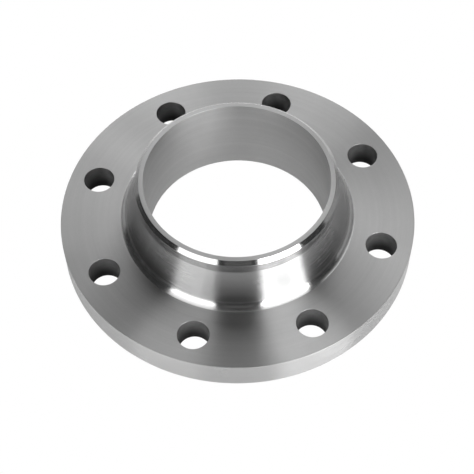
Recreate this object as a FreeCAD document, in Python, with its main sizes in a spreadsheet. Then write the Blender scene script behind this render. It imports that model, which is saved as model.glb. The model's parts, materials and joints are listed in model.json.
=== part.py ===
"""Weld neck pipe flange, DN 150 for PN 25 and PN 40: one steel forging, machined all over.

The axis is +Z. The origin is the centre of the raised contact face, which a gasket lies on,
and the neck that the pipe is welded to points up. Lengths are in millimetres.
"""

import FreeCAD, Part
import Sketcher
import math
import os

NODE = "weld_neck_flange"

# Alias, value and meaning of each driving dimension.
SIZES = [
    ("outside_diameter", 300.0, "outside of the ring"),
    ("ring_thickness", 28.0, "ring with its raised face"),
    ("raised_face_diameter", 218.0, "outside of the raised face"),
    ("raised_face_height", 2.0, "step from the ring down to the raised face"),
    ("bolt_circle_diameter", 250.0, "circle through the bolt hole centres"),
    ("bolt_hole_diameter", 26.0, "clearance hole for an M24 bolt"),
    ("bolt_hole_count", 8.0, "bolt holes, evenly spaced"),
    ("total_length", 75.0, "contact face to the end of the neck"),
    ("hub_base_diameter", 190.0, "taper carried down to the ring"),
    ("hub_root_diameter", 198.6, "edge where the root of the hub meets the ring"),
    ("hub_root_radius", 8.0, "root of the hub, which runs smoothly into the taper"),
    ("neck_diameter", 168.3, "outside of the pipe that is welded on"),
    ("neck_straight_length", 12.0, "straight neck with its weld bevel"),
    ("bore_diameter", 154.1, "inside of the pipe, with a 7.1 wall"),
    ("weld_bevel", 3.25, "bevel of the weld end, at 45 degrees"),
    ("edge_break", 0.5, "chamfer on the machined edges"),
]

VALUE = {alias: value for alias, value, meaning in SIZES}


def cell(alias):
    """A length from the sheet, as its value and its expression."""
    return VALUE[alias], f"Sizes.{alias}"


def half(alias):
    """The radius of a diameter from the sheet."""
    return VALUE[alias] / 2, f"Sizes.{alias} / 2"


def less(whole, part):
    """The difference of two lengths that cell, half or less gives."""
    return whole[0] - part[0], f"{whole[1]} - {part[1]}"


def make_sheet(doc):
    """Write the driving dimensions into a spreadsheet with an alias for each."""
    sheet = doc.addObject("Spreadsheet::Sheet", "Sizes")
    for row, (alias, value, meaning) in enumerate(SIZES, start=1):
        sheet.set(f"A{row}", alias)
        sheet.set(f"B{row}", str(value))
        sheet.setAlias(f"B{row}", alias)
        sheet.set(f"C{row}", meaning)
    doc.recompute()
    return sheet


def origin_feature(body, role):
    """The plane or axis of the body's own origin that plays the given role."""
    for feature in body.Origin.OriginFeatures:
        if feature.Role == role:
            return feature
    raise ValueError(f"{body.Label} has no {role}")


def flat_sketch(body, name, plane_role):
    """An empty sketch on one of the body's origin planes."""
    sketch = body.newObject("Sketcher::SketchObject", name)
    sketch.AttachmentSupport = [(origin_feature(body, plane_role), "")]
    sketch.MapMode = "FlatFace"
    return sketch


def bind(sketch, kind, first, second, length, name):
    """Add a dimension to the sketch and bind it to the sheet."""
    value, expression = length
    number = sketch.addConstraint(Sketcher.Constraint(kind, *first, *second, value))
    sketch.renameConstraint(number, name)
    sketch.setExpression(f"Constraints.{name}", expression)


def section_corners():
    """The corners of the section, anticlockwise from the bore at the contact face.

    Each is a name, its distance from the axis and its height. None stands for zero.
    """
    ring_top = cell("ring_thickness")
    neck_end = cell("total_length")
    bevel = cell("weld_bevel")
    return [
        ("bore_start", half("bore_diameter"), None),
        ("raised_face_edge", half("raised_face_diameter"), None),
        ("step_root", half("raised_face_diameter"), cell("raised_face_height")),
        ("rim_bottom", half("outside_diameter"), cell("raised_face_height")),
        ("rim_top", half("outside_diameter"), ring_top),
        ("root_edge", half("hub_root_diameter"), ring_top),
        ("taper_end", half("neck_diameter"), less(neck_end, cell("neck_straight_length"))),
        ("bevel_start", half("neck_diameter"), less(neck_end, bevel)),
        ("bevel_end", less(half("neck_diameter"), bevel), neck_end),
        ("bore_end", half("bore_diameter"), neck_end),
    ]


def root_arc():
    """The centre of the hub's root and the point where it runs smoothly into the taper."""
    radius = VALUE["hub_root_radius"]
    edge = FreeCAD.Vector(VALUE["hub_root_diameter"] / 2, VALUE["ring_thickness"], 0.0)
    taper_end_height = VALUE["total_length"] - VALUE["neck_straight_length"]
    taper_end = FreeCAD.Vector(VALUE["neck_diameter"] / 2, taper_end_height, 0.0)
    along = (taper_end - hub_base()).normalize()
    across = FreeCAD.Vector(along.y, -along.x, 0.0)
    gap = hub_base() - edge
    behind = gap.dot(along)
    rise = math.sqrt(behind ** 2 - gap.dot(gap) - 2 * radius * gap.dot(across)) - behind
    centre = hub_base() + across * radius + along * rise
    return centre, centre - across * radius


def hub_base():
    """The point where the taper, carried down, would meet the ring."""
    return FreeCAD.Vector(VALUE["hub_base_diameter"] / 2, VALUE["ring_thickness"], 0.0)


def draw_section(sketch):
    """Draw the closed section of the forging, with each corner dimensioned from the origin."""
    corners = section_corners()
    points = [FreeCAD.Vector(out[0], up[0] if up else 0.0, 0.0) for name, out, up in corners]
    centre, touch = root_arc()
    root = None
    chain = []
    for (name, out, up), start, end in zip(corners, points, points[1:] + points[:1]):
        if name == "root_edge":
            angles = [math.atan2(point.y - centre.y, point.x - centre.x) for point in (touch, start)]
            circle = Part.Circle(centre, FreeCAD.Vector(0.0, 0.0, 1.0), VALUE["hub_root_radius"])
            root = sketch.addGeometry(Part.ArcOfCircle(circle, *angles), False)
            taper = sketch.addGeometry(Part.LineSegment(touch, end), False)
            chain += [(root, 2, 1), (taper, 1, 2)]
        else:
            chain.append((sketch.addGeometry(Part.LineSegment(start, end), False), 1, 2))
    for (number, begins, ends), (following, next_begins, next_ends) in zip(chain, chain[1:] + chain[:1]):
        joint = "Tangent" if number == root else "Coincident"
        sketch.addConstraint(Sketcher.Constraint(joint, number, ends, following, next_begins))

    origin = (-1, 1)
    starts = [(number, begins) for number, begins, ends in chain if number != taper]
    for place, (name, out, up) in zip(starts, corners):
        bind(sketch, "DistanceX", origin, place, out, f"{name}_out")
        if up:
            bind(sketch, "DistanceY", origin, place, up, f"{name}_up")
        else:
            sketch.addConstraint(Sketcher.Constraint("PointOnObject", *place, -1))
    bind(sketch, "Radius", (root,), (), cell("hub_root_radius"), "root_radius")
    base = sketch.addGeometry(Part.Point(hub_base()), True)
    sketch.addConstraint(Sketcher.Constraint("PointOnObject", base, 1, taper))
    bind(sketch, "DistanceX", origin, (base, 1), half("hub_base_diameter"), "hub_base_out")
    bind(sketch, "DistanceY", origin, (base, 1), cell("ring_thickness"), "hub_base_up")


def turn_forging(body):
    """Revolve the section once round the axis."""
    section = flat_sketch(body, "Section", "XZ_Plane")
    draw_section(section)
    turned = body.newObject("PartDesign::Revolution", "Turned")
    turned.Profile = section
    turned.ReferenceAxis = (section, ["V_Axis"])
    turned.Angle = 360.0
    section.Visibility = False
    return turned


def circles_at(shape, radius, height=None, centre_distance=0.0):
    """Names of the shape's round edges with this radius, height and distance from the axis."""
    names = []
    for number, edge in enumerate(shape.Edges, start=1):
        curve = edge.Curve
        if not isinstance(curve, Part.Circle) or abs(curve.Radius - radius) > 1e-4:
            continue
        if abs(math.hypot(curve.Center.x, curve.Center.y) - centre_distance) > 1e-4:
            continue
        if height is None or abs(curve.Center.z - height) < 1e-4:
            names.append(f"Edge{number}")
    return names


def drill_bolt_holes(body):
    """Drill one hole half a pitch off the X axis, then repeat it round the bolt circle."""
    centre = flat_sketch(body, "HoleCentre", "XY_Plane")
    pitch_angle = 360.0 / VALUE["bolt_hole_count"]
    distance = VALUE["bolt_circle_diameter"] / 2
    turned = math.radians(pitch_angle / 2)
    place = FreeCAD.Vector(distance * math.cos(turned), distance * math.sin(turned), 0.0)
    up = FreeCAD.Vector(0.0, 0.0, 1.0)
    hole_circle = centre.addGeometry(Part.Circle(place, up, VALUE["bolt_hole_diameter"] / 2), False)
    spoke = centre.addGeometry(Part.LineSegment(FreeCAD.Vector(), place), True)
    centre.addConstraint(Sketcher.Constraint("Coincident", spoke, 1, -1, 1))
    centre.addConstraint(Sketcher.Constraint("Coincident", spoke, 2, hole_circle, 3))
    bind(centre, "Distance", (spoke,), (), half("bolt_circle_diameter"), "hole_distance")
    bind(centre, "Diameter", (hole_circle,), (), cell("bolt_hole_diameter"), "hole_width")
    lean = centre.addConstraint(Sketcher.Constraint("Angle", -1, 1, spoke, 1, turned))
    centre.renameConstraint(lean, "half_pitch")
    centre.setExpression("Constraints.half_pitch", "180 deg / Sizes.bolt_hole_count")

    hole = body.newObject("PartDesign::Pocket", "BoltHole")
    hole.Profile = centre
    hole.Type = 1
    hole.Reversed = True
    centre.Visibility = False

    holes = body.newObject("PartDesign::PolarPattern", "BoltHoles")
    holes.Originals = [hole]
    holes.Axis = (origin_feature(body, "Z_Axis"), [""])
    holes.Angle = 360.0
    holes.Occurrences = int(VALUE["bolt_hole_count"])
    holes.setExpression("Occurrences", "Sizes.bolt_hole_count")
    body.Tip = holes
    return holes


def break_edges(body, base):
    """Chamfer the rim, the raised face's edge, the bore's mouth and both ends of each bolt hole."""
    edges = circles_at(base.Shape, VALUE["outside_diameter"] / 2)
    edges += circles_at(base.Shape, VALUE["raised_face_diameter"] / 2, 0.0)
    edges += circles_at(base.Shape, VALUE["bore_diameter"] / 2, 0.0)
    bolt_circle_radius = VALUE["bolt_circle_diameter"] / 2
    edges += circles_at(base.Shape, VALUE["bolt_hole_diameter"] / 2, None, bolt_circle_radius)
    broken = body.newObject("PartDesign::Chamfer", "BrokenEdges")
    broken.Base = (base, edges)
    broken.Size = VALUE["edge_break"]
    broken.setExpression("Size", "Sizes.edge_break")
    body.Tip = broken
    return broken


def removed(before, after):
    """The volume that a cutting feature took away. It stops the build if that is nothing."""
    volume = before - after.Shape.Volume
    if volume <= 0.0:
        raise ValueError(f"{after.Label} cut nothing")
    return volume


def check(doc, parts):
    """Stop if any object failed to recompute or any part is not one valid solid."""
    for item in doc.Objects:
        if "Invalid" in item.State or "Error" in item.State:
            raise ValueError(f"{item.Label} failed: {item.State}")
    for part in parts:
        if part.Shape.isNull() or not part.Shape.isValid() or len(part.Shape.Solids) != 1:
            raise ValueError(f"{part.Label} is not one valid solid")


def build_flange(doc):
    """The whole flange, as the lathe and the drill make it from one forging."""
    body = doc.addObject("PartDesign::Body", "Flange")
    body.Label = NODE
    turned = turn_forging(body)
    doc.recompute()
    holes = drill_bolt_holes(body)
    doc.recompute()
    drilled = removed(turned.Shape.Volume, holes)
    ring_web = VALUE["ring_thickness"] - VALUE["raised_face_height"]
    one_hole = math.pi * VALUE["bolt_hole_diameter"] ** 2 / 4 * ring_web
    if abs(drilled / one_hole - VALUE["bolt_hole_count"]) > 0.01:
        raise ValueError("the bolt holes do not go through the ring")
    broken = break_edges(body, holes)
    doc.recompute()
    removed(holes.Shape.Volume, broken)
    body.Placement = FreeCAD.Placement()
    return body


def main():
    doc = FreeCAD.newDocument("WeldNeckFlange")
    make_sheet(doc)
    parts = [build_flange(doc)]
    doc.recompute()
    check(doc, parts)
    os.makedirs("parts", exist_ok=True)
    for part in parts:
        part.Shape.exportStep(f"parts/{part.Label}.step")
        print(part.Label, part.Shape.BoundBox, "volume", part.Shape.Volume)


main()
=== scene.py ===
import json
import math

import bmesh
import bpy
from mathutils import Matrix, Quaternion, Vector


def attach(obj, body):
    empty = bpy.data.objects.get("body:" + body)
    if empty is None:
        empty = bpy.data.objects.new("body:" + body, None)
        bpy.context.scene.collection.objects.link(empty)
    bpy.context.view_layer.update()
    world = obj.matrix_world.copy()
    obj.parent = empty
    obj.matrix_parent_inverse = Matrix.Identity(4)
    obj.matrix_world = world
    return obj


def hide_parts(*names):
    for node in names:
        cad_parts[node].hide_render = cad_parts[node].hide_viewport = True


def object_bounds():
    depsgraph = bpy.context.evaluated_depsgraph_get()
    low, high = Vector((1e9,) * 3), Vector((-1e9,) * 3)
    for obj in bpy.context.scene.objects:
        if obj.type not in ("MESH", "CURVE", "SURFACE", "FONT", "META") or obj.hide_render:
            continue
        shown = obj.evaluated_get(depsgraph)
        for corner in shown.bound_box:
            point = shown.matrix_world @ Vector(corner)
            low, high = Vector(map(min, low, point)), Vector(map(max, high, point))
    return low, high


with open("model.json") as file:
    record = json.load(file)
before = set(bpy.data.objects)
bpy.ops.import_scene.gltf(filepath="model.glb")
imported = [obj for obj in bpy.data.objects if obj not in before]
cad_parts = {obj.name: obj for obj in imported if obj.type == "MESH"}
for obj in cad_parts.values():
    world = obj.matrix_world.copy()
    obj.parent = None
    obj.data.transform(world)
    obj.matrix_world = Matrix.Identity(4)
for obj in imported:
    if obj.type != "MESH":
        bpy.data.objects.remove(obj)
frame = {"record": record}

CAD_LOW, CAD_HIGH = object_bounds()

# ---------------------------------------------------------------- sizes, in metres

NODE = "weld_neck_flange"
MM = 0.001
MOUNTS = {mount["name"]: mount for mount in frame["record"]["mounts"]}

OUTSIDE = max(CAD_HIGH.x, CAD_HIGH.y)
TOTAL = CAD_HIGH.z
BORE = MOUNTS["bore"]["dims"]["r_mm"] * MM
NECK = MOUNTS["neck_outside"]["dims"]["r_mm"] * MM
RING_TOP = MOUNTS["nut_face"]["pos_m"][2]
BOLT_CIRCLE = MOUNTS["bolt_circle"]["dims"]["pcd_mm"] / 2 * MM
HOLE = MOUNTS["bolt_circle"]["dims"]["hole_r_mm"] * MM
HOLES = MOUNTS["bolt_circle"]["dims"]["count"]

RAISED_FACE = 109 * MM
RING_BACK = 2 * MM
HUB_BASE = 95 * MM
ROOT_EDGE = 99.3 * MM
ROOT_RADIUS = 8 * MM
NECK_START = TOTAL - 12 * MM
BEVEL = 3.25 * MM
EDGE = 0.25 * MM
GROOVE_PITCH = 0.8 * MM
GROOVE_DEPTH = 0.05 * MM
# How far down the bolt holes painted shade darkens the walls' colour.
PAINTED_SHADE_DEPTH = 22 * MM

# ---------------------------------------------------------------- mesh density

SECTOR = 36
AROUND = SECTOR * HOLES
PATCH_HALF_COLUMNS = 8
PATCH_ROWS = 12
PATCH_SHARES = (0.0, 0.16, 0.4, 0.7)
PATCH_REACH = 19.5 * MM
FOOT_MARGIN = 1.5 * MM
TOP_MARGIN = 5 * MM
MARGIN_ROW = 3.5 * MM
EDGE_STEPS = 3
RIM_STEPS = 6
ROOT_STEPS = 14
TAPER_STEPS = 8
NECK_STEPS = 3
FLAT_STEPS = 2
BORE_STEPS = 16
WALL_STEPS = 8


# ---------------------------------------------------------------- section

def line(start, end, steps):
    """Points of a straight stretch of the section, both ends included."""
    return [(start[0] + (end[0] - start[0]) * step / steps,
             start[1] + (end[1] - start[1]) * step / steps) for step in range(steps + 1)]


def arc(centre, radius, first, last, steps):
    """Points of an arc from one angle to another, the short way round."""
    sweep = (last - first + math.pi) % (2 * math.pi) - math.pi
    angles = [first + sweep * step / steps for step in range(steps + 1)]
    return [(centre.x + radius * math.cos(angle), centre.y + radius * math.sin(angle)) for angle in angles]


def rounded(before, corner, after, radius, steps=EDGE_STEPS):
    """The arc that rounds a corner of the section, as points."""
    corner = Vector(corner)
    back = (Vector(before) - corner).normalized()
    ahead = (Vector(after) - corner).normalized()
    half = back.angle(ahead) / 2
    reach = radius / math.tan(half)
    centre = corner + (back + ahead).normalized() * radius / math.sin(half)
    start = corner + back * reach - centre
    end = corner + ahead * reach - centre
    return arc(centre, radius, math.atan2(start.y, start.x), math.atan2(end.y, end.x), steps)


def blended(start, corner, after, radius, steps):
    """The arc from a point on the ring that runs smoothly into the line through the corner, as points."""
    start, corner = Vector(start), Vector(corner)
    along = (Vector(after) - corner).normalized()
    across = Vector((along.y, -along.x))
    gap = corner - start
    rise = -gap.dot(along) + math.sqrt(gap.dot(along) ** 2 - gap.dot(gap) - 2 * radius * gap.dot(across))
    centre = corner + across * radius + along * rise
    first = math.atan2(start.y - centre.y, start.x - centre.x)
    return arc(centre, radius, first, math.atan2(-across.y, -across.x), steps)


def serrations(start, end):
    """Points of the fine concentric grooves turned into the contact face."""
    grooves = round((end - start) / GROOVE_PITCH)
    pitch = (end - start) / grooves
    points = []
    for number in range(grooves):
        points.append((start + pitch * number, 0.0))
        points.append((start + pitch * (number + 0.5), GROOVE_DEPTH))
    return points + [(end, 0.0)]


# ---------------------------------------------------------------- turned mesh

class Turned:
    """A closed mesh turned round the axis, made one stretch of the section at a time.

    The section is followed with the metal on the left, so every face looks out of the metal.
    """

    def __init__(self):
        self.mesh = bmesh.new()
        self.ring = None
        self.first_ring = None
        self.materials = []

    def face(self, corners, material, flip=False):
        if material not in self.materials:
            self.materials.append(material)
        made = self.mesh.faces.new(corners[::-1] if flip else corners)
        made.smooth = True
        made.material_index = self.materials.index(material)

    def circle(self, radius, height):
        angles = [2 * math.pi * number / AROUND for number in range(AROUND)]
        return [self.mesh.verts.new((radius * math.cos(angle), radius * math.sin(angle), height))
                for angle in angles]

    def band(self, ring, following, material, flip=False):
        """Quads between two loops of the same number of vertices."""
        for number in range(len(ring)):
            after = (number + 1) % len(ring)
            self.face((ring[number], ring[after], following[after], following[number]), material, flip)

    def crease(self, ring):
        """Make the edges along a closed loop of vertices sharp."""
        for number, vert in enumerate(ring):
            edge = self.mesh.edges.get((vert, ring[(number + 1) % len(ring)]))
            edge.smooth = False

    def stretch(self, points, material):
        """Carry the mesh on along these points, the first of which is where it has got to."""
        if self.ring is None:
            self.ring = self.first_ring = self.circle(*points[0])
        start = self.ring
        for point in points[1:]:
            following = self.circle(*point)
            self.band(self.ring, following, material)
            self.ring = following
        self.crease(start)

    def close(self, points, material):
        """The last stretch, which ends where the first one began."""
        start = self.ring
        for point in points[1:-1]:
            following = self.circle(*point)
            self.band(self.ring, following, material)
            self.ring = following
        self.band(self.ring, self.first_ring, material)
        self.crease(start)
        self.crease(self.first_ring)

    def drilled_face(self, end, height, inner_margin, material):
        """Carry the mesh on across a flat annulus with bolt holes in it. Returns a loop for each hole."""
        start = self.ring[0].co.x
        outward = end > start
        low, high = sorted((start, end))
        patch_low = max(BOLT_CIRCLE - PATCH_REACH, low + inner_margin)
        patch_high = BOLT_CIRCLE + PATCH_REACH
        margin_rows = max(1, round((patch_low - low) / MARGIN_ROW))
        radii = [low + (patch_low - low) * row / margin_rows for row in range(margin_rows)]
        radii += [patch_low + (patch_high - patch_low) * row / PATCH_ROWS for row in range(PATCH_ROWS + 1)]
        radii.append(high)
        if outward:
            rows = [self.ring] + [self.circle(radius, height) for radius in radii[1:]]
        else:
            rows = [self.circle(radius, height) for radius in radii[:-1]] + [self.ring]
        first, last = margin_rows, margin_rows + PATCH_ROWS
        left, right = SECTOR // 2 - PATCH_HALF_COLUMNS, SECTOR // 2 + PATCH_HALF_COLUMNS
        for row in range(len(rows) - 1):
            for column in range(AROUND):
                if first <= row < last and left <= column % SECTOR < right:
                    continue
                after = (column + 1) % AROUND
                corners = (rows[row][column], rows[row][after], rows[row + 1][after], rows[row + 1][column])
                self.face(corners, material, not outward)
        loops = []
        for hole in range(HOLES):
            columns = [hole * SECTOR + column for column in range(left, right + 1)]
            border = [rows[first][column] for column in columns]
            border += [rows[row][columns[-1]] for row in range(first + 1, last)]
            border += [rows[last][column] for column in reversed(columns)]
            border += [rows[row][columns[0]] for row in range(last - 1, first, -1)]
            loops.append(self.hole_patch(hole, border, height, material, outward))
            for row in range(first + 1, last):
                for column in columns[1:-1]:
                    self.mesh.verts.remove(rows[row][column])
        self.crease(self.ring)
        self.ring = rows[-1] if outward else rows[0]
        return loops

    def hole_patch(self, hole, border, height, material, flip):
        """Fill between the mouth of one bolt hole and the square border round it."""
        middle = 2 * math.pi * (hole + 0.5) / HOLES
        centre = Vector((math.cos(middle), math.sin(middle), 0)) * BOLT_CIRCLE + Vector((0, 0, height))
        angles = [middle + math.pi - 2 * math.pi * (number - PATCH_HALF_COLUMNS) / len(border)
                  for number in range(len(border))]
        mouth = [centre + Vector((math.cos(angle), math.sin(angle), 0)) * (HOLE + EDGE) for angle in angles]
        rings = [[self.mesh.verts.new(point.lerp(vert.co, share)) for point, vert in zip(mouth, border)]
                 for share in PATCH_SHARES]
        rings.append(border)
        for ring, following in zip(rings, rings[1:]):
            self.band(ring, following, material, flip)
        return rings[0]

    def drill(self, hole, bottom, top, material, edge_material):
        """The wall of one bolt hole, with its two rounded mouths, between two loops."""
        middle = 2 * math.pi * (hole + 0.5) / HOLES
        centre = Vector((math.cos(middle), math.sin(middle), 0)) * BOLT_CIRCLE
        out = HOLE + EDGE
        low, high = bottom[0].co.z, top[0].co.z
        mouth = rounded((out + EDGE, low), (HOLE, low), (HOLE, high), EDGE)
        depth = line(mouth[-1], (HOLE, high - EDGE), WALL_STEPS)
        exit_mouth = rounded((HOLE, low), (HOLE, high), (out + EDGE, high), EDGE)
        ring = bottom
        for points, chosen in ((mouth, edge_material), (depth, material), (exit_mouth, edge_material)):
            start = ring
            for point in points[1:]:
                if point is exit_mouth[-1]:
                    following = top
                else:
                    following = []
                    for vert in bottom:
                        spoke = Vector((vert.co.x, vert.co.y, 0)) - centre
                        place = centre + spoke.normalized() * point[0]
                        following.append(self.mesh.verts.new((place.x, place.y, point[1])))
                self.band(ring, following, chosen)
                ring = following
            self.crease(start)
        self.crease(top)

    def piece(self, name):
        """The finished object."""
        mesh = bpy.data.meshes.new(name)
        self.mesh.to_mesh(mesh)
        self.mesh.free()
        for material in self.materials:
            mesh.materials.append(material)
        made = bpy.data.objects.new(name, mesh)
        bpy.context.scene.collection.objects.link(made)
        return made


def make_flange(looks):
    """The whole flange as one turned and drilled mesh."""
    bore_foot = (BORE, 0.0)
    contact_rim = (RAISED_FACE, 0.0)
    step_root = (RAISED_FACE, RING_BACK)
    rim_foot = (OUTSIDE, RING_BACK)
    rim_head = (OUTSIDE, RING_TOP)
    hub_root = (HUB_BASE, RING_TOP)
    taper_end = (NECK, NECK_START)
    bevel_start = (NECK, TOTAL - BEVEL)
    bevel_end = (NECK - BEVEL, TOTAL)
    bore_head = (BORE, TOTAL)

    turned = Turned()
    foot = rounded(bore_head, bore_foot, contact_rim, EDGE)
    turned.stretch(foot, looks["edge"])
    contact_edge = rounded(bore_foot, contact_rim, step_root, EDGE)
    turned.stretch(serrations(foot[-1][0], contact_edge[0][0]), looks["contact"])
    turned.stretch(contact_edge, looks["edge"])
    turned.stretch([contact_edge[-1], step_root], looks["rim"])
    foot_edge = rounded(step_root, rim_foot, rim_head, EDGE)
    bottoms = turned.drilled_face(foot_edge[0][0], RING_BACK, FOOT_MARGIN, looks["ring"])
    turned.stretch(foot_edge, looks["edge"])
    head_edge = rounded(rim_foot, rim_head, hub_root, EDGE)
    turned.stretch(line(foot_edge[-1], head_edge[0], RIM_STEPS), looks["rim"])
    turned.stretch(head_edge, looks["edge"])
    root = blended((ROOT_EDGE, RING_TOP), hub_root, taper_end, ROOT_RADIUS, ROOT_STEPS)
    tops = turned.drilled_face(root[0][0], RING_TOP, TOP_MARGIN, looks["ring"])
    turned.stretch(root, looks["root"])
    turned.stretch(line(root[-1], taper_end, TAPER_STEPS), looks["hub"])
    bevel_edge = rounded(taper_end, bevel_start, bevel_end, EDGE)
    turned.stretch(line(taper_end, bevel_edge[0], NECK_STEPS), looks["hub"])
    turned.stretch(bevel_edge, looks["edge"])
    land_edge = rounded(bevel_start, bevel_end, bore_head, EDGE)
    turned.stretch(line(bevel_edge[-1], land_edge[0], FLAT_STEPS), looks["bevel"])
    turned.stretch(land_edge, looks["edge"])
    bore_edge = rounded(bevel_end, bore_head, bore_foot, EDGE)
    turned.stretch(line(land_edge[-1], bore_edge[0], FLAT_STEPS), looks["land"])
    turned.stretch(bore_edge, looks["edge"])
    turned.close(line(bore_edge[-1], foot[0], BORE_STEPS), looks["bore"])
    for hole, (bottom, top) in enumerate(zip(bottoms, tops)):
        turned.drill(hole, bottom, top, looks["drilled"], looks["edge"])
    return turned.piece("flange")


# ---------------------------------------------------------------- materials

MARK_SCALE = 1.0
PASS_SCALE = 0.07
PASS_DEPTH = 6.0
STAIN_SCALE = 28.0
GRAIN_SCALE = 700.0
ACROSS_THE_MARKS = 0.25

# The range that most of a noise lies in, and how far roughness strays to each side.
NOISE_LOW, NOISE_HIGH = 0.3, 0.7
ROUGHNESS_STRAY = 0.1
# Shares of the marks, passes, stains and grain in the colour, and of the marks and stains in the wear.
COLOUR_SHARES = (0.25, 0.35, 0.3, 0.1)
WEAR_SHARES = (0.4, 0.6)

SCORE_SCALE = 160.0
SCORE_SQUEEZE = 12
SCORE_DEPTH = 0.02 * MM
WALL_STAIN_SCALE = 180.0
STAINED = 0.75

OUTWARD = (1.0, 0.0)
UPWARD = (0.0, 1.0)
DOWN_THE_HUB = (-0.3, 0.95)


class Graph:
    """The nodes of one new material."""

    def __init__(self, name):
        self.material = bpy.data.materials.new(name)
        self.material.use_nodes = True
        self.tree = self.material.node_tree
        self.tree.nodes.clear()

    def add(self, kind, inputs=(), **settings):
        """Add a node. Each input is a value, or an output to link."""
        node = self.tree.nodes.new(kind)
        for name, value in settings.items():
            setattr(node, name, value)
        for name, value in dict(inputs).items():
            if isinstance(value, bpy.types.NodeSocket):
                self.tree.links.new(value, node.inputs[name])
            else:
                node.inputs[name].default_value = value
        return node

    def math(self, operation, first, second, third=0.0):
        node = self.add("ShaderNodeMath", {0: first, 1: second, 2: third}, operation=operation)
        return node.outputs["Value"]

    def vector(self, operation, inputs, output="Vector"):
        return self.add("ShaderNodeVectorMath", inputs, operation=operation).outputs[output]

    def noise(self, place, scale, detail, roughness=0.5):
        inputs = {"Vector": place, "Scale": scale, "Detail": detail, "Roughness": roughness}
        return self.add("ShaderNodeTexNoise", inputs).outputs["Fac"]

    def blend(self, parts):
        """The sum of some outputs, each with its share."""
        (first, share), *others = parts
        total = self.math("MULTIPLY", first, share)
        for part, share in others:
            total = self.math("MULTIPLY_ADD", part, share, total)
        return total

    def carry(self, value, start, end, low, high, interpolation="LINEAR"):
        """Carry one range of values over to another."""
        inputs = {"Value": value, "From Min": start, "From Max": end, "To Min": low, "To Max": high}
        return self.add("ShaderNodeMapRange", inputs, interpolation_type=interpolation).outputs["Result"]

    def spread(self, value, low, high):
        """Carry the middle of a noise over to a range."""
        return self.carry(value, NOISE_LOW, NOISE_HIGH, low, high)

    def stray(self, value, roughness):
        """Let a roughness stray to each side with a noise."""
        return self.spread(value, roughness * (1 - ROUGHNESS_STRAY), roughness * (1 + ROUGHNESS_STRAY))

    def tones(self, share, dark, bright):
        """A grey between two tones."""
        colour = self.add("ShaderNodeMix", {"Factor": share}, data_type="RGBA")
        colour.inputs["A"].default_value = (dark, dark, dark, 1)
        colour.inputs["B"].default_value = (bright, bright, bright, 1)
        return colour.outputs["Result"]

    def steel(self, inputs):
        """Finish the material as bare metal."""
        shader = self.add("ShaderNodeBsdfPrincipled", {"Metallic": 1.0, **inputs})
        self.add("ShaderNodeOutputMaterial", {"Surface": shader.outputs["BSDF"]})
        return self.material


def machined(name, tone, roughness, along, feed, pitch, depth, contrast=0.12, painted_light_fade=0.0):
    """Bare steel with fine tool marks that run round the axis.

    The feed is how far the tool moved outward and upward for each step from mark to mark. The painted light
    fade is the share of the contrast that goes from dark at the top of the flange to bright at its foot;
    this is painted light.
    """
    graph = Graph(name)
    place = graph.add("ShaderNodeTexCoord").outputs["Object"]
    flat = graph.vector("MULTIPLY", {0: place, 1: (1, 1, 0)})
    spoke = graph.vector("NORMALIZE", {0: flat})
    from_axis = graph.vector("LENGTH", {0: flat}, "Value")
    height = graph.add("ShaderNodeSeparateXYZ", {"Vector": place}).outputs["Z"]
    station = graph.blend(((from_axis, feed[0] / pitch), (height, feed[1] / pitch)))
    lift = graph.add("ShaderNodeCombineXYZ", {"Z": station}).outputs["Vector"]
    track = graph.vector("ADD", {0: spoke, 1: lift})
    marks = graph.noise(track, MARK_SCALE, 2.0, 0.6)
    passes = graph.noise(track, PASS_SCALE, 2.0)
    stains = graph.noise(place, STAIN_SCALE, 4.0, 0.6)
    grain = graph.noise(place, GRAIN_SCALE, 2.0)

    mixed = graph.blend(zip((marks, passes, stains, grain), COLOUR_SHARES))
    share = graph.spread(mixed, painted_light_fade / 2, 1 - painted_light_fade / 2)
    # Painted light: the colour brightens from the top of the flange down to its foot.
    if painted_light_fade:
        painted_light_lowness = graph.carry(height, TOTAL, 0.0, -painted_light_fade / 2, painted_light_fade / 2)
        share = graph.math("ADD", share, painted_light_lowness)
    worn = graph.blend(zip((marks, stains), WEAR_SHARES))
    relief = graph.math("MULTIPLY_ADD", passes, PASS_DEPTH, marks)
    bump = graph.add("ShaderNodeBump", {"Height": relief, "Distance": depth, "Strength": 1.0})
    tangent = graph.add("ShaderNodeTangent", direction_type="RADIAL", axis="Z")
    return graph.steel({
        "Base Color": graph.tones(share, tone * (1 - contrast), tone * (1 + contrast)),
        "Roughness": graph.stray(worn, roughness),
        "Anisotropic": along, "Anisotropic Rotation": ACROSS_THE_MARKS,
        "Tangent": tangent.outputs["Tangent"], "Normal": bump.outputs["Normal"]})


def drilled(name, tone, painted_shade_tone, roughness):
    """A drilled wall, dull, with shade painted into its colour that darkens it toward the bottom, and the
    drill's faint spiral.
    """
    graph = Graph(name)
    place = graph.add("ShaderNodeTexCoord").outputs["Object"]
    height = graph.add("ShaderNodeSeparateXYZ", {"Vector": place}).outputs["Z"]
    squeezed = graph.vector("MULTIPLY", {0: place, 1: (1, 1, SCORE_SQUEEZE)})
    scores = graph.noise(squeezed, SCORE_SCALE, 3.0, 0.6)
    stains = graph.noise(place, WALL_STAIN_SCALE, 3.0)
    # Painted shade: the wall's colour goes to the darker tone over this depth below the ring's top.
    free_of_painted_shade = graph.carry(height, RING_TOP - PAINTED_SHADE_DEPTH, RING_TOP - EDGE, 0.0, 1.0, "SMOOTHSTEP")
    share = graph.math("MULTIPLY", free_of_painted_shade, graph.spread(stains, STAINED, 1.0))
    bump = graph.add("ShaderNodeBump", {"Height": scores, "Distance": SCORE_DEPTH, "Strength": 1.0})
    return graph.steel({
        "Base Color": graph.tones(share, painted_shade_tone, tone),
        "Roughness": graph.stray(scores, roughness),
        "Normal": bump.outputs["Normal"]})
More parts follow.
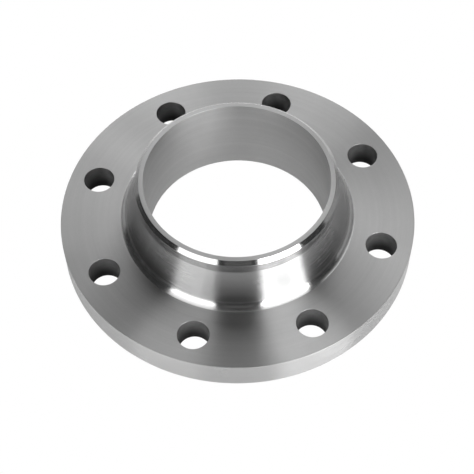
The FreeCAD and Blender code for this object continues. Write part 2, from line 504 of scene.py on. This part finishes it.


# Turned: tone, roughness, how far reflections are drawn out across the marks, feed, pitch and depth of the
# marks; then contrast and painted light fade, where they differ. Drilled: tone at the top, painted shade
# tone deep down, roughness.
LOOKS = {
    "ring": machined("faced_steel", 0.395, 0.34, 1.0, OUTWARD, 0.5 * MM, 0.0010 * MM),
    "rim": machined("rim_steel", 0.57, 0.26, 1.0, UPWARD, 0.5 * MM, 0.0010 * MM),
    "hub": machined("turned_steel", 0.55, 0.26, 1.0, DOWN_THE_HUB, 0.4 * MM, 0.0005 * MM, 0.06),
    "root": machined("root_steel", 0.68, 0.20, 1.0, DOWN_THE_HUB, 0.3 * MM, 0.0004 * MM, 0.06),
    "bevel": machined("bevel_steel", 0.62, 0.18, 1.0, UPWARD, 0.3 * MM, 0.0004 * MM, 0.06),
    "land": machined("land_steel", 0.38, 0.40, 0.8, OUTWARD, 0.4 * MM, 0.0010 * MM),
    # The bore's last number is painted light that brightens it toward its foot.
    "bore": machined("bored_steel", 0.58, 0.48, 0.62, UPWARD, 0.5 * MM, 0.0012 * MM, 0.24, 0.5),
    "contact": machined("serrated_steel", 0.50, 0.36, 0.9, OUTWARD, 0.2 * MM, 0.0006 * MM),
    # The drilled walls' second tone is painted shade deep in the holes.
    "drilled": drilled("drilled_steel", 0.30, 0.02, 0.5),
    "edge": machined("broken_edge_steel", 0.40, 0.45, 0.3, UPWARD, 0.2 * MM, 0.0004 * MM),
}

flange = make_flange(LOOKS)
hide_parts(NODE)
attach(flange, "root")


# ---------------------------------------------------------------- view

# Angles are in degrees, lengths in metres, and the lens and its sensor in millimetres.
VIEW_AZIMUTH = -5.39
VIEW_ELEVATION = 54.42
VIEW_DISTANCE = 1.0368
VIEW_ROLL = -1.0
AIM_NEARER = 0.0260
AIM_LEFT = 0.0007
SENSOR = 36
LENS = 92.53

TURN, LIFT = math.radians(VIEW_AZIMUTH), math.radians(VIEW_ELEVATION)
RING_CENTRE = Vector((0, 0, RING_TOP))
NEARER = Vector((math.sin(TURN), -math.cos(TURN), 0))
LEFTWARD = Vector((-math.cos(TURN), -math.sin(TURN), 0))
VIEWPOINT = RING_CENTRE + VIEW_DISTANCE * (NEARER * math.cos(LIFT) + Vector((0, 0, math.sin(LIFT))))

camera = bpy.data.objects.new("camera", bpy.data.cameras.new("camera"))
bpy.context.scene.collection.objects.link(camera)
camera.data.sensor_width = SENSOR
camera.data.lens = LENS
camera.location = VIEWPOINT
aim = RING_CENTRE + NEARER * AIM_NEARER + LEFTWARD * AIM_LEFT
look = (aim - camera.location).to_track_quat("-Z", "Y")
camera.rotation_mode = "QUATERNION"
camera.rotation_quaternion = look @ Quaternion((0, 0, 1), math.radians(VIEW_ROLL))
bpy.context.scene.camera = camera

# ---------------------------------------------------------------- stage

STUDIO = 2.4
FLOOR_HALF = 0.5
FLOOR_BELOW = 0.025
BACKDROP = 20.0
LIT_RADIUS = 0.09
LIT_HEIGHT = 0.045
PANEL_STEPS = 6
DIM = 0.03
PALE = 0.9
MATT = 0.9

# Glowing panels: the azimuths, from the right of the picture, and the tilts of the hub's surface that
# mirror them; brightness.
PANELS = {
    "right_foot": ((-77.8, -53.8), (29, 38), 8.0),
    "right_low": ((-78.7, -53.6), (38, 47), 8.0),
    "right_middle": ((-79.0, -53.5), (47, 57), 3.0),
    "right_high": ((-79.0, -54.8), (57, 76), 1.35),
    "left_foot": ((-123.3, -102.8), (29, 38), 2.6),
    "left_low": ((-125.2, -101.5), (38, 47), 2.6),
    "left_middle": ((-125.2, -101.5), (47, 57), 1.9),
    "left_high": ((-125.2, -101.5), (57, 76), 1.2),
}

# Soft lights: azimuth, from the right of the picture, and elevation; width and height; brightness.
SOFTBOXES = {
    "front": (-90, 37, 0.9, 0.6, 0.15),
    "back_low": (93, 16, 2.4, 1.2, 3.2),
    "back_high": (90, 45, 2.1, 1.29, 1.35),
    "back_right": (45, 56, 1.2, 0.8, 0.9),
    "top": (90, 84, 1.4, 0.9, 0.2),
    "side_right": (28, 14, 2.6, 1.1, 0.36),
    "side_left": (138, 14, 1.4, 1.1, 0.36),
}


def towards(azimuth, elevation):
    """The direction at an azimuth from the right of the picture and an elevation, both in degrees."""
    turn, lift = math.radians(azimuth + VIEW_AZIMUTH), math.radians(elevation)
    return Vector((math.cos(turn) * math.cos(lift), math.sin(turn) * math.cos(lift), math.sin(lift)))


def plain(name, colour, glow):
    """An even, matt stage material."""
    material = bpy.data.materials.new(name)
    material.use_nodes = True
    shader = material.node_tree.nodes["Principled BSDF"]
    shader.inputs["Base Color"].default_value = (colour, colour, colour, 1)
    shader.inputs["Roughness"].default_value = MATT
    shader.inputs["Specular IOR Level"].default_value = 0.0
    shader.inputs["Emission Color"].default_value = (1, 1, 1, 1)
    shader.inputs["Emission Strength"].default_value = glow
    return material


def stage_piece(name, shape, material):
    """A piece of the studio, which is not part of the flange."""
    mesh = bpy.data.meshes.new(name)
    shape.to_mesh(mesh)
    shape.free()
    mesh.materials.append(material)
    made = bpy.data.objects.new(name, mesh)
    bpy.context.scene.collection.objects.link(made)
    return made


def mirrored(azimuth, tilt):
    """Where, on the walls of the studio, the hub mirrors the viewpoint if its surface leans this much."""
    out = towards(azimuth, 0)
    place = out * LIT_RADIUS + Vector((0, 0, LIT_HEIGHT))
    ray = -(VIEWPOINT - place).reflect(towards(azimuth, tilt)).normalized()
    middle = place.dot(ray)
    reach = -middle + math.sqrt(middle ** 2 - place.dot(place) + STUDIO ** 2)
    return place + ray * reach


def panel(name, azimuths, tilts, glow):
    """A glowing panel, as wide and high as the stretch of the hub that mirrors it."""
    shape = bmesh.new()
    first, last = azimuths
    rows = []
    for _, tilt in line((first, tilts[0]), (first, tilts[1]), PANEL_STEPS):
        spots = line((first, tilt), (last, tilt), PANEL_STEPS)
        rows.append([shape.verts.new(mirrored(*spot)) for spot in spots])
    for row, following in zip(rows, rows[1:]):
        for column in range(PANEL_STEPS):
            shape.faces.new((row[column], row[column + 1], following[column + 1], following[column]))
    made = stage_piece(name, shape, plain(name, 0.0, glow))
    made.visible_camera = False


def softbox(name, azimuth, elevation, width, height, radiance):
    """A soft area light aimed at the flange."""
    data = bpy.data.lights.new(name, "AREA")
    data.shape = "RECTANGLE"
    data.size, data.size_y = width, height
    data.energy = radiance * math.pi * width * height
    light = bpy.data.objects.new(name, data)
    bpy.context.scene.collection.objects.link(light)
    away = towards(azimuth, elevation)
    light.location = away * STUDIO
    light.rotation_mode = "QUATERNION"
    light.rotation_quaternion = away.to_track_quat("Z", "Y")
    light.visible_camera = False


for name, (azimuths, tilts, glow) in PANELS.items():
    panel(name, azimuths, tilts, glow)
for name, settings in SOFTBOXES.items():
    softbox(name, *settings)

# The pale floor lies a little below the flange, so that light gets under it. The camera sees the white
# backdrop in its place, from every side.
floor_shape = bmesh.new()
bmesh.ops.create_grid(floor_shape, x_segments=1, y_segments=1, size=FLOOR_HALF)
bmesh.ops.translate(floor_shape, verts=floor_shape.verts, vec=(0, 0, -FLOOR_BELOW))
floor = stage_piece("floor", floor_shape, plain("floor", PALE, 0.0))
floor.visible_camera = False

backdrop_shape = bmesh.new()
bmesh.ops.create_icosphere(backdrop_shape, subdivisions=3, radius=BACKDROP)
backdrop = stage_piece("backdrop", backdrop_shape, plain("backdrop", 0.0, 1.0))
backdrop.visible_diffuse = False
backdrop.visible_glossy = False
backdrop.visible_transmission = False
backdrop.visible_shadow = False

world = bpy.data.worlds.new("studio")
world.use_nodes = True
world.node_tree.nodes["Background"].inputs["Color"].default_value = (DIM, DIM, DIM, 1)
bpy.context.scene.world = world
bpy.context.scene.view_settings.view_transform = "Standard"
